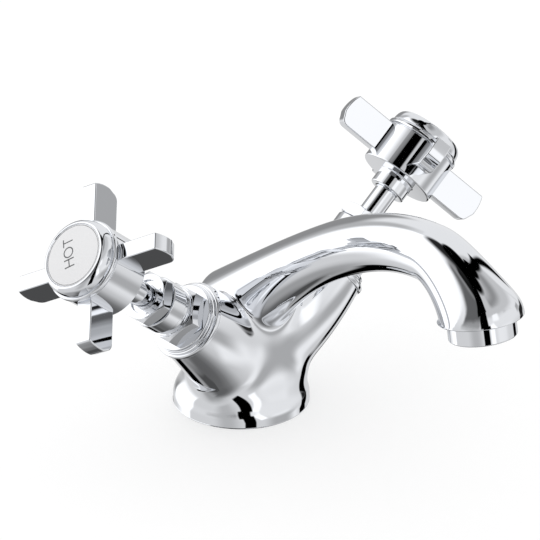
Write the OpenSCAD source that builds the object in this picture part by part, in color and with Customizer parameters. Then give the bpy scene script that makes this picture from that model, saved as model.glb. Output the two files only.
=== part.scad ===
// Basin mixer tap with two cross handles. One casting has a flared foot, a forked yoke with a valve
// seat on each side and an arched spout. A ceramic disc valve screws into each seat, and a four-armed
// handle with an enamelled index disc turns its spindle through a quarter turn.
// The origin is the centre of the foot on the deck: +X is where the spout points, -Y is the hot side,
// +Z is up. Along each valve axis, heights are measured from the point where the two axes meet.

/* [Foot and yoke] */
// Radius of the foot on the deck
foot_r = 26; // [25:0.5:29]
// Height of the foot's upright side
foot_h = 2.6; // [2:0.1:3.5]
// Radius of the sweep from that side up to the waist
foot_sweep = 7.5; // [6:0.25:9]
// Height of the plain band round the foot's lower edge
foot_band_h = 2.6; // [2:0.1:3.4]
// Radius of the waist above the foot
waist_r = 16; // [15:0.25:17]
// Radius of the trunk where the spout leaves it
trunk_top_r = 12; // [11:0.25:13]
// How far the valve axes lie in front of the foot's centre
yoke_x = 10.75; // [9:0.25:12.5]
// Height at which the two valve axes meet
yoke_z = 19; // [17.5:0.25:21]
// Slope of the valve axes above the deck, in degrees
valve_tilt = 39.5; // [37:0.5:42]
// Distance from the meeting point to the rim of a valve seat
seat_reach = 45.5; // [45:0.5:50]
// Radius of the yoke's arm just below its rim
arm_neck_r = 14.2; // [13.8:0.1:14.3]
// Radius of the round rim on a valve seat
seat_rim_r = 14.7; // [14.6:0.1:15.5]
// How fast the underside of a yoke arm widens towards the foot
arm_flare = 0.24; // [0.2:0.01:0.28]

/* [Spout] */
// Distance from the foot's centre to the middle of the outlet
spout_reach = 127.5; // [115:0.5:140]
// Height of the outlet rim's centre above the deck
outlet_z = 81.3; // [76:0.5:86]
// Height of the spout's centre line at its highest point
arch_z = 96.8; // [93:0.5:102]
// Slope at which the spout leaves the yoke, in degrees
rise_angle = 45; // [43:0.5:47]
// Lean of the outlet away from straight down, in degrees
outlet_tilt = 12; // [6:0.5:16]
// Radius of the spout along its arch
spout_r = 10.3; // [9.8:0.1:11.2]
// Radius of the spout just above its outlet rim
spout_end_r = 15.1; // [14.6:0.1:15.6]

/* [Outlet] */
// Radius of the aerator housing
aerator_r = 12; // [11.5:0.1:12.5]
// How far the aerator housing stands out of the spout
aerator_drop = 6.6; // [5:0.2:9]
// Wall of the aerator housing
aerator_wall = 1.4; // [1.2:0.1:2]
// Number of spokes in the aerator's grille
grille_spokes = 12; // [6:1:16]

/* [Valves] */
// Radius of the trim ring on the seat rim
trim_r = 13.7; // [13.3:0.1:14]
// Height of the trim ring
trim_h = 1.6; // [1.2:0.1:2]
// Radius of the valve's sealing flange
flange_r = 12.8; // [12.3:0.1:13.1]
// Height of the sealing flange
flange_h = 1.1; // [0.8:0.1:1.6]
// Corner radius of the valve's large hexagon
hex_r = 11.7; // [11:0.1:12]
// Height of the large hexagon
hex_h = 6.3; // [5.5:0.1:7]
// Radius of the neck above the large hexagon
neck_r = 8.8; // [8.2:0.1:9.2]
// Height of that neck
neck_h = 3; // [2.5:0.1:3.5]
// Radius of the round band above the neck
band_r = 9.6; // [9.3:0.1:10]
// Height of the round band
band_h = 7; // [6:0.1:8]
// Corner radius of the gland nut
gland_r = 10.2; // [10:0.1:10.8]
// Height of the gland nut
gland_h = 5.2; // [4.6:0.1:6]
// Radius of the valve's thread in the seat
thread_r = 10.3; // [9.8:0.1:10.5]
// Length of that thread
thread_l = 16; // [14:0.5:18]
// Radius of the ceramic discs
disc_r = 7; // [6.5:0.1:7.4]
// Thickness of one ceramic disc
disc_h = 3; // [2.5:0.1:3.5]
// Radius of the spindle
spindle_r = 4.5; // [4.2:0.1:4.7]
// Bare length of spindle between the gland nut and the handle
spindle_gap = 12; // [10:0.5:14]

/* [Handles] */
// Radius of the collar under the handle's barrel
collar_r = 7.2; // [6.8:0.1:7.6]
// Length of that collar
collar_h = 6.2; // [5:0.2:8]
// Radius of the handle's barrel
barrel_r = 14.8; // [14.4:0.1:15.2]
// Length of the barrel
barrel_h = 15.6; // [14:0.2:17]
// Radius of the ring at the barrel's outer end
bead_r = 15.2; // [15:0.1:15.8]
// Height of that ring
bead_h = 2.2; // [1.8:0.1:2.6]
// Distance from the valve axis to the tip of an arm
arm_reach = 32; // [28:0.5:35]
// Width of an arm
arm_w = 6.3; // [5.5:0.1:7]
// Depth of an arm along the valve axis
arm_d = 12.4; // [11:0.2:13]
// Rest angle of the hot handle's arms, in degrees
hot_rest = 36; // [0:1:89]
// Rest angle of the cold handle's arms, in degrees
cold_rest = 56; // [0:1:89]
// Radius of the chrome cap
cap_r = 14.3; // [14:0.1:14.6]
// Height of the chrome cap above the ring
cap_h = 4.8; // [4.2:0.1:5.2]
// Radius of the enamelled index disc
index_r = 11.7; // [11:0.1:11.9]

/* [Fixings below the deck] */
// Radius of the two holes for the supply hoses
inlet_r = 4.5; // [4:0.1:5]
// Distance of each supply hole from the middle
inlet_y = 8.5; // [8:0.1:9.5]
// Distance of the supply holes in front of the foot's centre
inlet_x = 5; // [4:0.5:6.5]
// Radius of the hole for the fixing stud
stud_r = 3.4; // [3:0.1:4]

/* [Fits] */
// Radial clearance of a spindle in its valve
running_gap = 0.05; // [0.03:0.01:0.08]
// Clearance between parts that are put together by hand
loose_gap = 0.1; // [0.05:0.01:0.2]
// Side of one cell of the casting's mesh
mesh_cell = 3; // [3:0.25:4]

/* [Hidden] */
$fn = 72;

CHROME = "gainsboro";
BRASS = "goldenrod";
RUBBER = "dimgray";
CERAMIC = "white";
STEEL = "silver";

HOT = -1;
COLD = 1;
SQRT3_2 = sqrt(3) / 2;

// Stations along a valve axis, from the meeting point outwards
seat_t = seat_reach;
rim_h = 2;
trim_t = seat_t + trim_h;
flange_t = trim_t + flange_h;
hex_t = flange_t + hex_h;
neck_t = hex_t + neck_h;
band_t = neck_t + band_h;
gland_t = band_t + gland_h;
collar_t = gland_t + spindle_gap;
barrel_t = collar_t + collar_h;
bead_t = barrel_t + barrel_h;
rim_t = bead_t + bead_h;
cap_t = rim_t + cap_h;

// The valve's inside, from the bottom of the thread upwards
thread_t = seat_t - thread_l;
gasket_h = 1.6;
disc_t = thread_t + 1;
upper_disc_t = disc_t + disc_h;
driver_t = upper_disc_t + disc_h;
driver_h = 2.4;
chamber_r = disc_r + loose_gap;
seat_bore_r = thread_r + loose_gap;
ring_groove_h = 2.2;
ring_wire_r = 1;
ring_groove_t = [flange_t + 1, flange_t + 5];
clip_h = 0.8;
clip_groove_t = gland_t - 1.8;
clip_outer_r = spindle_r + 1.3;
gland_recess_r = clip_outer_r + 0.5;
gland_thread_r = 7.4;
gland_thread_h = 2.8;

// The handle's inside
arm_face_gap = 0.3;
arm_crown = 1.3;
arm_back_r = 3;
arm_edge = 0.5;
arm_root = 1.6;
socket_depth = 9;
socket_t = bead_t - socket_depth;
web_h = 3;
cap_thread_r = 11;
cap_skirt_h = 6;
cap_wall = 1.6;
index_h = 1.6;
index_crown = 0.5;
screw_r = 2;
screw_head_r = 3.6;
screw_head_h = 2.4;
screw_l = 12;
spline_teeth = 20;
spline_depth = 0.35;

// The outlet, measured along its own axis from the rim's centre, downwards
outlet_bore_r = aerator_r - 0.9;
outlet_bore_h = 6.6;
outlet_feed_h = 13;
outlet_feed_r = 6;
aerator_top = 5;
aerator_seal_h = 1.4;

seal_edge = 2.4;
seal_w = 3;
seal_out_r = foot_r - seal_edge;
seal_in_r = seal_out_r - seal_w;
recess_land = 1.2;
recess_w = 3.8;
recess_out_r = seal_in_r - recess_land;
foot_recess_h = 6;
seal_h = 2;
inlet_l = 14;
stud_l = 14;
feed_t = thread_t - gasket_h - 6;
feed_r = 3.2;

function clamp01(v) = min(1, max(0, v));

function ease(v) =
    let (c = clamp01(v))
    c * c * (3 - 2 * c);

// Minimum of two distances with a rounded valley of width k between them
function blend(a, b, k) =
    let (h = max(k - abs(a - b), 0) / k)
    min(a, b) - h * h * h * k / 6;

function bezier(p, q, r, s, t) =
    pow(1 - t, 3) * p + 3 * pow(1 - t, 2) * t * q + 3 * (1 - t) * t * t * r + pow(t, 3) * s;

// The spout's centre line, in its own plane: one curve up to the arch and one down to the outlet
arch_x = spout_reach - 24.8;
spout_root = [-1.4, 0, 39];
spout_arch = [arch_x, 0, arch_z];
spout_end = [spout_reach, 0, outlet_z];
rise_dir = [cos(rise_angle), 0, sin(rise_angle)];
outlet_dir = [sin(outlet_tilt), 0, -cos(outlet_tilt)];
rise_pull = norm(spout_arch - spout_root) * 0.3;
arch_pull = norm(spout_arch - spout_root) * 0.306;
drop_pull = norm(spout_end - spout_arch) * 0.352;
end_pull = norm(spout_end - spout_arch) * 0.06;
rise_steps = 8;
drop_steps = 7;
spout_path = concat(
    [for (i = [0:rise_steps])
        bezier(spout_root, spout_root + rise_pull * rise_dir, spout_arch - [arch_pull, 0, 0],
            spout_arch, i / rise_steps)],
    [for (i = [1:drop_steps])
        bezier(spout_arch, spout_arch + [drop_pull, 0, 0], spout_end - end_pull * outlet_dir,
            spout_end, i / drop_steps)]);
path_n = len(spout_path);
path_run = [for (i = 0, s = 0; i < path_n;
    s = s + (i + 1 < path_n ? norm(spout_path[i + 1] - spout_path[i]) : 0), i = i + 1) s];
path_len = path_run[path_n - 1];
root_r = spout_r + 4.7;
flare_from = 0.78;
root_to = 0.46;
path_r = [for (s = path_run)
    let (u = s / path_len)
    spout_r + (spout_end_r - spout_r) * pow(clamp01((u - flare_from) / (1 - flare_from)), 2.2)
        + (root_r - spout_r) * pow(1 - clamp01(u / root_to), 2)];

function cone_dist(p, a, b, ra, rb) =
    let (ab = b - a, t = clamp01((p - a) * ab / (ab * ab)))
    norm(p - a - t * ab) - (ra + (rb - ra) * t);

function spout_dist(p) =
    min([for (i = [0:path_n - 2])
        cone_dist(p, spout_path[i], spout_path[i + 1], path_r[i], path_r[i + 1])]);

function foot_dist(p) =
    let (r = foot_r - 0.4 - norm([max(p.z - foot_h, 0), foot_sweep]) + foot_sweep)
    (norm([p.x, p.y]) - r) * 0.85;

fork_round = 9;
arm_widen = 0.05;
arm_top_flare = -0.04;
arm_lean = 0.0055;

// One yoke arm: a cone about the valve axis whose underside widens towards the foot, and whose middle
// leans back to the foot's centre
function arm_dist(p) =
    let (s = norm([p.y, fork_round]),
        z = p.z - yoke_z,
        t = s * cos(valve_tilt) + z * sin(valve_tilt),
        up = z * cos(valve_tilt) - s * sin(valve_tilt),
        back = min(max(seat_t - t, -5), 60),
        low = arm_neck_r + arm_flare * back,
        high = arm_neck_r + arm_top_flare * back,
        wide = arm_neck_r + arm_widen * back,
        deep = (low + high) / 2,
        lean = arm_lean * max(back, 0) * max(back, 0),
        q = norm([(p.x - yoke_x + lean) / wide, (up - (high - low) / 2) / deep]))
    max((q - 1) * min(wide, deep), t - (seat_t + 0.2));

trunk_foot = [3, 0, 12];
trunk_top = [3, 0, 32];
foot_blend = 13;
trunk_blend = 14;
spout_blend = 4;

function trunk_dist(p) =
    let (way = trunk_top - trunk_foot,
        t = clamp01((p - trunk_foot) * way / (way * way)))
    norm(p - trunk_foot - t * way) - (waist_r + (trunk_top_r - waist_r) * ease(t));

function casting_dist(p) =
    let (upper = blend(trunk_dist(p), arm_dist(p), trunk_blend),
        low = blend(foot_dist(p), upper, foot_blend * (0.1 + 0.9 * ease(p.z / 13))),
        all = blend(low, spout_dist(p), spout_blend),
        past_outlet = (p - spout_end) * outlet_dir)
    max(p.x > arch_x ? max(all, past_outlet - 4) : all, foot_band_h / 2 - p.z);

// The casting's skin as a net of cells: each cell that the skin crosses gets one point, at the middle
// of its crossings, and each grid edge that it crosses joins the four cells round that edge
net_lo = [-foot_r - 2.6, 0, -1];
net_hi = [spout_reach + spout_end_r + 5, (seat_t + 2) * cos(valve_tilt) + seat_rim_r,
    arch_z + spout_r + 4];
net_n = [for (a = [0:2]) ceil((net_hi[a] - net_lo[a]) / mesh_cell)];
net_block = 4;
net_reach = mesh_cell * net_block * 0.9 + 3;

CORNERS = [for (i = [0:1], j = [0:1], k = [0:1]) [i, j, k]];
EDGES = [for (a = [0:7], b = [a + 1:7]) if (norm(CORNERS[a] - CORNERS[b]) == 1) [a, b]];

function net_point(i, j, k) = net_lo + mesh_cell * [i, j, k];

// Distances at the grid's points on one side of the middle plane. A block that lies well clear of the
// skin takes its middle's distance throughout
function net_values() =
    let (mid = [for (i = [0:net_block:net_n.x]) [for (j = [0:net_block:net_n.y])
            [for (k = [0:net_block:net_n.z])
                casting_dist(net_point(i, j, k) + mesh_cell * (net_block - 1) / 2 * [1, 1, 1])]]])
    [for (i = [0:net_n.x]) [for (j = [0:net_n.y]) [for (k = [0:net_n.z])
        let (m = mid[floor(i / net_block)][floor(j / net_block)][floor(k / net_block)])
        abs(m) > net_reach ? m : casting_dist(net_point(i, j, k))]]];

function cell_values(v, c) = [for (d = CORNERS) v[c.x + d.x][abs(c.y + d.y)][c.z + d.z]];

function crossing_mean(w) =
    let (hits = [for (e = EDGES) if ((w[e[0]] < 0) != (w[e[1]] < 0))
            let (t = w[e[0]] / (w[e[0]] - w[e[1]]))
            CORNERS[e[0]] * (1 - t) + CORNERS[e[1]] * t])
    [for (a = [0:2]) [for (h = hits) h[a]] * [for (h = hits) 1] / len(hits)];

function is_mixed(w) = min(w) < 0 && max(w) >= 0;

module casting_skin() {
    v = net_values();
    rows = 2 * net_n.y;
    cells = [for (i = [0:net_n.x - 1], j = [-net_n.y:net_n.y - 1], k = [0:net_n.z - 1]) [i, j, k]];
    used = [for (c = cells) is_mixed(cell_values(v, c)) ? 1 : 0];
    count = len(cells);
    index = [for (c = 0, n = 0; c < count; n = n + used[c], c = c + 1) n];
    points = [for (c = [0:count - 1]) if (used[c] == 1)
        let (q = cells[c] + crossing_mean(cell_values(v, cells[c])))
        [net_lo.x, 0, net_lo.z] + mesh_cell * q];
    steps = [[1, 0, 0], [0, 1, 0], [0, 0, 1]];
    quads = [for (c = cells, a = [0:2])
        let (d = steps[a],
            one = v[c.x][abs(c.y)][c.z] < 0,
            two = v[c.x + d.x][abs(c.y + d.y)][c.z + d.z] < 0)
        if (one != two)
            let (b = steps[(a + 1) % 3],
                e = steps[(a + 2) % 3],
                ring = [for (q = [c, c - b, c - b - e, c - e])
                    index[(q.x * rows + q.y + net_n.y) * net_n.z + q.z]])
            one ? [ring[0], ring[3], ring[2], ring[1]] : ring];
    faces = [for (q = quads) each [[q[0], q[1], q[2]], [q[0], q[2], q[3]]]];
    polyhedron(points, faces, convexity = 6);
}

// Places its children with +Z along a valve axis and the origin where the two axes meet
module on_valve(side) {
    translate([yoke_x, 0, yoke_z])
        rotate([-side * (90 - valve_tilt), 0, 0])
            children();
}

// The point on a valve axis at distance t from where the axes meet
function valve_point(side, t) =
    [yoke_x, side * t * cos(valve_tilt), yoke_z + t * sin(valve_tilt)];

// A round hole of radius r from point a to point b
module drilling(a, b, r) {
    way = b - a;
    translate(a)
        rotate([0, acos(way.z / norm(way)), atan2(way.y, way.x)])
            cylinder(h = norm(way), r = r);
}

// Places its children at the outlet, with +Z pointing out of it
module at_outlet() {
    translate(spout_end)
        rotate([0, 180 - outlet_tilt, 0])
            children();
}

module tube(low, high, r_in, r_out) {
    difference() {
        translate([0, 0, low])
            cylinder(h = high - low, r = r_out);
        translate([0, 0, low - 1])
            cylinder(h = high - low + 2, r = r_in);
    }
}

// A disc with both edges rounded, from height low to height high
module rounded_disc(low, high, r, edge) {
    rotate_extrude()
        polygon(concat([[0, low]],
            [for (a = [-90:15:0]) [r - edge + edge * cos(a), low + edge + edge * sin(a)]],
            [for (a = [0:15:90]) [r - edge + edge * cos(a), high - edge + edge * sin(a)]],
            [[0, high]]));
}

// A hexagonal prism whose corners are turned off at both ends
module chamfered_hex(low, high, corner_r) {
    flat_r = corner_r * SQRT3_2;
    bevel = (corner_r - flat_r) * 0.6;
    intersection() {
        translate([0, 0, low])
            cylinder(h = high - low, r = corner_r, $fn = 6);
        rotate_extrude()
            polygon([[0, low], [flat_r, low], [corner_r, low + bevel], [corner_r, high - bevel],
                [flat_r, high], [0, high]]);
    }
}

module body() {
    color(CHROME)
    difference() {
        union() {
            casting_skin();
            rounded_disc(0, foot_band_h, foot_r, 0.5);
            for (side = [HOT, COLD])
                on_valve(side)
                    rounded_disc(seat_t - rim_h, seat_t, seat_rim_r, 0.7);
        }
        at_outlet()
            cylinder(h = 10, r = spout_end_r + 6);
        for (side = [HOT, COLD])
            on_valve(side) {
                translate([0, 0, thread_t - gasket_h])
                    cylinder(h = thread_l + gasket_h + 1, r = seat_bore_r);
                translate([0, 0, feed_t])
                    cylinder(h = thread_t - gasket_h - feed_t + 1, r = disc_r - 2);
            }
        for (side = [HOT, COLD])
            drilling([inlet_x, side * inlet_y, inlet_l - feed_r],
                valve_point(side, feed_t + 1), feed_r);
        at_outlet()
            union() {
                translate([0, 0, -outlet_bore_h])
                    cylinder(h = outlet_bore_h + 1, r = outlet_bore_r);
                translate([0, 0, -outlet_feed_h])
                    cylinder(h = outlet_feed_h, r = outlet_feed_r);
            }
        tube(-1, foot_recess_h, recess_out_r - recess_w, recess_out_r);
        tube(-1, seal_h, seal_in_r, seal_out_r);
        for (side = [HOT, COLD])
            translate([inlet_x, side * inlet_y, -1])
                cylinder(h = inlet_l + 1, r = inlet_r);
        translate([0, 0, -1])
            cylinder(h = stud_l + 1, r = stud_r);
    }
}

module base_seal() {
    color(RUBBER)
        tube(0, seal_h, seal_in_r + loose_gap, seal_out_r - loose_gap);
}

module aerator_housing() {
    color(CHROME)
    at_outlet()
        difference() {
            union() {
                translate([0, 0, -aerator_top])
                    cylinder(h = aerator_top + 1, r = outlet_bore_r - loose_gap);
                translate([0, 0, loose_gap])
                    rounded_disc(0, aerator_drop, aerator_r, 0.5);
            }
            translate([0, 0, -aerator_top - 1])
                cylinder(h = aerator_top + aerator_drop - 0.2, r = aerator_r - aerator_wall - 0.9);
            translate([0, 0, -aerator_top])
                cylinder(h = aerator_top + aerator_drop + 2, r = aerator_r - aerator_wall - 1.7);
        }
}

// The grille: two rings joined by spokes round a small hub
module aerator_insert() {
    outer = aerator_r - aerator_wall - 0.9 - loose_gap;
    top = -aerator_top + 1;
    bottom = aerator_drop - 1.3;
    spoke_h = 2;
    spoke_w = 0.7;
    color("lightgray")
    at_outlet() {
        tube(top, bottom, outer - 1.3, outer);
        tube(bottom - spoke_h, bottom, outer * 0.52, outer * 0.52 + 0.8);
        translate([0, 0, bottom - spoke_h])
            cylinder(h = spoke_h, r = 1.6);
        for (i = [0:grille_spokes - 1])
            rotate([0, 0, i * 360 / grille_spokes])
                translate([1.2, -spoke_w / 2, bottom - spoke_h])
                    cube([outer - 2, spoke_w, spoke_h]);
    }
}

module aerator_seal() {
    color(RUBBER)
    at_outlet()
        tube(-aerator_top - aerator_seal_h, -aerator_top, outlet_bore_r - 3, outlet_bore_r - loose_gap);
}

module trim_ring(side) {
    color(CHROME)
    on_valve(side)
        difference() {
            union() {
                rounded_disc(seat_t, seat_t + trim_h * 0.6, trim_r, 0.4);
                rounded_disc(seat_t, trim_t, trim_r - 0.6, 0.35);
            }
            translate([0, 0, seat_t - 1])
                cylinder(h = trim_h + 2, r = seat_bore_r);
        }
}

module valve_body(side) {
    color(CHROME)
    on_valve(side)
        difference() {
            union() {
                translate([0, 0, thread_t])
                    cylinder(h = trim_t - thread_t + 0.5, r = thread_r);
                rounded_disc(trim_t, flange_t, flange_r, 0.35);
                chamfered_hex(flange_t - 0.2, hex_t, hex_r);
                translate([0, 0, hex_t - 1])
                    cylinder(h = neck_h + 2, r = neck_r);
                rounded_disc(neck_t, band_t, band_r, 0.5);
                translate([0, 0, band_t - 1])
                    cylinder(h = gland_thread_h + 1, r = gland_thread_r);
            }
            translate([0, 0, thread_t - 1])
                cylinder(h = driver_t + driver_h + loose_gap - thread_t + 1, r = chamber_r);
            translate([0, 0, thread_t])
                cylinder(h = band_t - thread_t + gland_thread_h + 1, r = spindle_r + running_gap);
            for (turn = [0, 180])
                rotate([0, 0, turn])
                    translate([disc_r, 0, disc_t + disc_h])
                        rotate([0, 90, 0])
                            cylinder(h = thread_r, r = 2.6, center = true);
        }
}

module gland_nut(side) {
    low = band_t + 0.25;
    color(CHROME)
    on_valve(side)
        difference() {
            chamfered_hex(low, gland_t, gland_r);
            translate([0, 0, low - 1])
                cylinder(h = gland_thread_h + 1 + loose_gap, r = gland_thread_r + loose_gap);
            translate([0, 0, low])
                cylinder(h = gland_h + 1, r = spindle_r + running_gap);
            translate([0, 0, clip_groove_t - loose_gap])
                cylinder(h = gland_h, r = gland_recess_r);
        }
}

// A toothed bar: a circle whose rim has a regular row of splines
module splined_bar(low, high, r) {
    step = 360 / spline_teeth;
    translate([0, 0, low])
        linear_extrude(high - low)
            polygon([for (i = [0:spline_teeth - 1], q = [[0, r - spline_depth], [0.3, r], [0.6, r],
                [0.9, r - spline_depth]])
                q[1] * [cos((i + q[0]) * step), sin((i + q[0]) * step)]]);
}

module spindle(side) {
    color(BRASS)
    on_valve(side)
        difference() {
            union() {
                translate([0, 0, driver_t + loose_gap])
                    cylinder(h = driver_h - loose_gap, r = disc_r - loose_gap);
                for (turn = [0, 180])
                    rotate([0, 0, turn])
                        translate([disc_r - 3, -1.2, driver_t - 1])
                            cube([2, 2.4, 2]);
                translate([0, 0, driver_t + driver_h - 0.5])
                    cylinder(h = socket_t - driver_t - driver_h - 6, r = spindle_r);
                splined_bar(socket_t - 8, socket_t - loose_gap, spindle_r - 0.1);
            }
            for (t = ring_groove_t)
                tube(t, t + ring_groove_h, spindle_r - 2 * ring_wire_r, spindle_r + 1);
            tube(clip_groove_t, clip_groove_t + clip_h + 0.1, spindle_r - 0.7, spindle_r + 1);
            translate([0, 0, socket_t - screw_l])
                cylinder(h = screw_l + 1, r = screw_r + 0.05);
        }
}

module spindle_rings(side) {
    color(RUBBER)
    on_valve(side)
        for (t = ring_groove_t)
            translate([0, 0, t + ring_groove_h / 2])
                rotate_extrude()
                    translate([spindle_r - ring_wire_r + 0.02, 0])
                        circle(r = ring_wire_r - 0.05, $fn = 24);
}

module circlip(side) {
    color(STEEL)
    on_valve(side)
        difference() {
            tube(clip_groove_t + 0.05, clip_groove_t + clip_h, spindle_r - 0.65, clip_outer_r);
            translate([0, -1.5, clip_groove_t - 1])
                cube([clip_outer_r + 1, 3, clip_h + 2]);
        }
}

// A ceramic disc with two opposite water ports shaped as quarter sectors
module ported_disc(low, high, turn) {
    port_out = disc_r - 1.6;
    port_in = 1.6;
    difference() {
        translate([0, 0, low])
            cylinder(h = high - low, r = disc_r);
        for (half = [0, 180])
            rotate([0, 0, turn + half])
                intersection() {
                    tube(low - 1, high + 1, port_in, port_out);
                    translate([0, 0, low - 2])
                        cube([disc_r, disc_r, high - low + 4]);
                }
    }
}

module upper_disc(side) {
    color(CERAMIC)
    on_valve(side)
        difference() {
            ported_disc(upper_disc_t + 0.02, driver_t - 0.02, 90);
            for (turn = [0, 180])
                rotate([0, 0, turn])
                    translate([disc_r - 3.1, -1.3, driver_t - 1.1])
                        cube([4, 2.6, 2]);
        }
}

module lower_disc(side) {
    color(CERAMIC)
    on_valve(side)
        ported_disc(disc_t, upper_disc_t, 0);
}

module seat_gasket(side) {
    color(RUBBER)
    on_valve(side)
        union() {
            tube(thread_t - gasket_h, thread_t, disc_r - 2, seat_bore_r - loose_gap);
            tube(thread_t - 0.5, disc_t, disc_r - 1.8, disc_r - 0.1);
        }
}

// Outline of a handle arm seen from its side: x runs along the arm and y along the valve axis
function arm_outline() =
    let (high = bead_t - arm_face_gap,
        low = high - arm_d,
        nose_r = (arm_d * arm_d / 4 + arm_crown * arm_crown) / (2 * arm_crown),
        sweep = asin(arm_d / 2 / nose_r),
        back_x = arm_reach - arm_crown * 0.75 - arm_back_r,
        start = barrel_r - arm_root)
    concat([[start, high], [start, low]],
        [for (a = [-90:15:-15]) [back_x + arm_back_r * cos(a), low + arm_back_r + arm_back_r * sin(a)]],
        [for (i = [3:8])
            let (a = -sweep + 2 * sweep * i / 8)
            [arm_reach - nose_r + nose_r * cos(a), (low + high) / 2 + nose_r * sin(a)]]);

module handle_arm() {
    half = arm_w / 2;
    intersection() {
        translate([0, half, 0])
            rotate([90, 0, 0])
                linear_extrude(arm_w)
                    polygon(arm_outline());
        translate([barrel_r - arm_root - 0.1, 0, bead_t - arm_face_gap - arm_d / 2])
            rotate([0, 90, 0])
                linear_extrude(arm_reach)
                    polygon([for (s = [[1, 1], [-1, 1], [-1, -1], [1, -1]], a = [0, 1])
                        let (swap = s.x * s.y > 0 ? a : 1 - a)
                        [s.x * (arm_d / 2 - (swap == 0 ? 0 : arm_edge)),
                            s.y * (half - (swap == 0 ? arm_edge : 0))]]);
    }
}

module handle(side, rest) {
    color(CHROME)
    on_valve(side)
        difference() {
            union() {
                rotate_extrude()
                    polygon(concat(
                        [[0, collar_t], [collar_r - 0.5, collar_t], [collar_r, collar_t + 0.5],
                            [collar_r, barrel_t - 0.4], [collar_r + 0.4, barrel_t]],
                        [for (a = [-90:30:0])
                            [barrel_r - 0.5 + 0.5 * cos(a), barrel_t + 0.5 + 0.5 * sin(a)]],
                        [[barrel_r, bead_t - 0.4], [barrel_r - 0.5, bead_t]],
                        [for (a = [-90:15:90]) [bead_r - bead_h / 2 + bead_h / 2 * cos(a),
                            bead_t + bead_h / 2 + bead_h / 2 * sin(a)]],
                        [[0, rim_t]]));
                for (i = [0:3])
                    rotate([0, 0, rest + 90 * i])
                        handle_arm();
            }
            translate([0, 0, collar_t - 1])
                cylinder(h = socket_t - collar_t + 1, r = spindle_r + loose_gap);
            translate([0, 0, socket_t - 1])
                cylinder(h = web_h + 2, r = screw_r + 0.2);
            translate([0, 0, socket_t + web_h])
                cylinder(h = rim_t, r = cap_thread_r);
        }
}

module handle_screw(side) {
    head_t = socket_t + web_h + 0.05;
    color(STEEL)
    on_valve(side)
        difference() {
            union() {
                translate([0, 0, head_t - screw_l])
                    cylinder(h = screw_l + 0.5, r = screw_r);
                rounded_disc(head_t, head_t + screw_head_h, screw_head_r, 0.4);
            }
            for (turn = [0, 90])
                rotate([0, 0, turn])
                    translate([-2.2, -0.5, head_t + screw_head_h - 1.3])
                        cube([4.4, 1, 2]);
        }
}

module cap(side) {
    low = rim_t + loose_gap;
    lip = cap_t - 0.3;
    round_w = cap_r - index_r - 0.5;
    round_h = cap_t - low - 0.6;
    color(CHROME)
    on_valve(side)
        difference() {
            rotate_extrude()
                polygon(concat(
                    [[0, rim_t - cap_skirt_h], [cap_thread_r - loose_gap, rim_t - cap_skirt_h],
                        [cap_thread_r - loose_gap, low], [cap_r - 0.4, low], [cap_r, low + 0.4]],
                    [for (a = [0:15:90])
                        [cap_r - round_w + round_w * cos(a), cap_t - round_h + round_h * sin(a)]],
                    [[index_r + 0.3, cap_t], [index_r + 0.05, lip], [0, lip]]));
            translate([0, 0, cap_t - index_h - 0.3])
                cylinder(h = 4, r = index_r + loose_gap);
            translate([0, 0, rim_t - cap_skirt_h - 1])
                cylinder(h = cap_skirt_h + 1.8, r = cap_thread_r - cap_wall);
        }
}

module index_disc(side) {
    low = cap_t - index_h - 0.25;
    crown_r = (index_r * index_r + index_crown * index_crown) / (2 * index_crown);
    top = cap_t - 0.2;
    color(CERAMIC)
    on_valve(side)
        rotate_extrude()
            polygon(concat([[0, low], [index_r, low], [index_r, top - 0.3]],
                [for (i = [6:-1:0])
                    let (x = (index_r - 0.3) * i / 6)
                    [x, top + index_crown - crown_r + sqrt(crown_r * crown_r - x * x)]]));
}

body();
base_seal();
aerator_housing();
aerator_insert();
aerator_seal();
trim_ring(HOT);  // hot_trim_ring
valve_body(HOT);  // hot_valve_body
gland_nut(HOT);  // hot_gland_nut
spindle(HOT);  // hot_spindle
spindle_rings(HOT);  // hot_spindle_rings
circlip(HOT);  // hot_circlip
upper_disc(HOT);  // hot_upper_disc
lower_disc(HOT);  // hot_lower_disc
seat_gasket(HOT);  // hot_seat_gasket
handle(HOT, hot_rest);  // hot_handle
handle_screw(HOT);  // hot_handle_screw
cap(HOT);  // hot_cap
index_disc(HOT);  // hot_index_disc
trim_ring(COLD);  // cold_trim_ring
valve_body(COLD);  // cold_valve_body
gland_nut(COLD);  // cold_gland_nut
spindle(COLD);  // cold_spindle
spindle_rings(COLD);  // cold_spindle_rings
circlip(COLD);  // cold_circlip
upper_disc(COLD);  // cold_upper_disc
lower_disc(COLD);  // cold_lower_disc
seat_gasket(COLD);  // cold_seat_gasket
handle(COLD, cold_rest);  // cold_handle
handle_screw(COLD);  // cold_handle_screw
cap(COLD);  // cold_cap
index_disc(COLD);  // cold_index_disc
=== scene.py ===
"""Looks of the basin mixer tap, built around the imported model. Lengths are in mm until a mesh is made."""
import math

import bmesh
import bpy
import numpy as np
from mathutils import Matrix, Vector


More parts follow.
